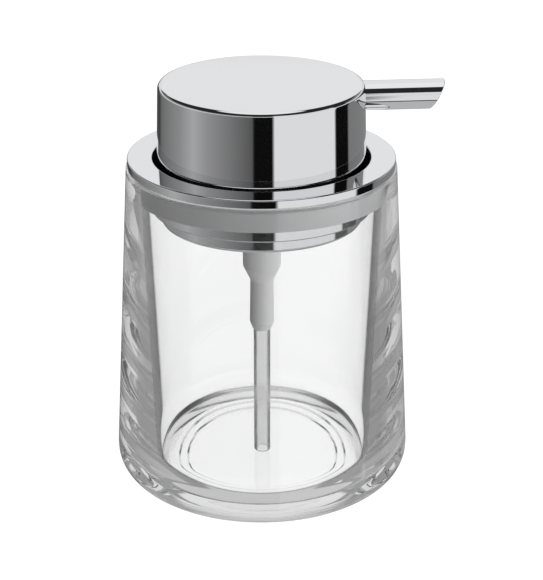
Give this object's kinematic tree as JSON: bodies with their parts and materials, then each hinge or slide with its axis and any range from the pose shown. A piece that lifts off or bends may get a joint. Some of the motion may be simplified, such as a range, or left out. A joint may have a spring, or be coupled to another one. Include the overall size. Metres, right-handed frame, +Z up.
{
  "type": "soap pump dispenser",
  "caption": "Clear glass soap dispenser with a chromed collar and a round chromed press head, which pumps liquid soap out through a side spout.",
  "frame": {"origin": "on the bottle's axis, in the plane that the foot of the bottle stands on", "axes": "+Z up along the axis of the bottle and pump, +X the way the spout points at rest"},
  "size_m": [0.0983, 0.09, 0.1223],
  "materials": {
    "clear_glass": "clear, polished",
    "chrome": "bright mirror plating",
    "white_plastic": "moulded, satin",
    "clear_tube": "translucent, drawn",
    "clear_seal": "translucent, soft",
    "rubber_seal": "matt",
    "steel_ball": "polished",
    "spring_steel": "drawn wire"
  },
  "bodies": {
    "bottle": {"glass_body": "clear_glass"},
    "pump_unit": {"collar": "chrome", "collar_dish": "chrome", "seal_ring": "clear_seal", "pump_nut": "white_plastic", "barrel_washer": "rubber_seal", "pump_barrel": "white_plastic", "dip_tube": "clear_tube", "inlet_cage": "white_plastic", "return_spring": "spring_steel", "stem_seal": "rubber_seal", "stem_guide": "white_plastic"},
    "inlet_valve": {"inlet_ball": "steel_ball"},
    "plunger": {"stem": "white_plastic", "piston": "clear_seal", "piston_foot": "white_plastic", "outlet_cage": "white_plastic"},
    "outlet_valve": {"outlet_ball": "steel_ball"},
    "head": {"head_core": "white_plastic", "head_shell": "chrome", "spout_sleeve": "chrome", "spout_liner": "white_plastic"}
  },
  "joints": [
    {"name": "unit_lift", "type": "slide", "parent": "bottle", "child": "pump_unit", "axis": [0, 0, 1], "range_m": [0, 0.1]},
    {"name": "head_press", "type": "slide", "parent": "pump_unit", "child": "plunger", "axis": [0, 0, -1], "range_m": [0, 0.012], "stiffness_N_per_m": 600, "springref_m": -0.006, "deforming": ["return_spring"]},
    {"name": "head_turn", "type": "hinge", "parent": "plunger", "child": "head", "pos_m": [0, 0, 0.11], "axis": [0, 0, 1], "continuous": true},
    {"name": "inlet_ball_lift", "type": "slide", "parent": "pump_unit", "child": "inlet_valve", "axis": [0, 0, 1], "range_m": [0, 0.0012]},
    {"name": "outlet_ball_lift", "type": "slide", "parent": "plunger", "child": "outlet_valve", "axis": [0, 0, 1], "range_m": [0, 0.0012]}
  ]
}
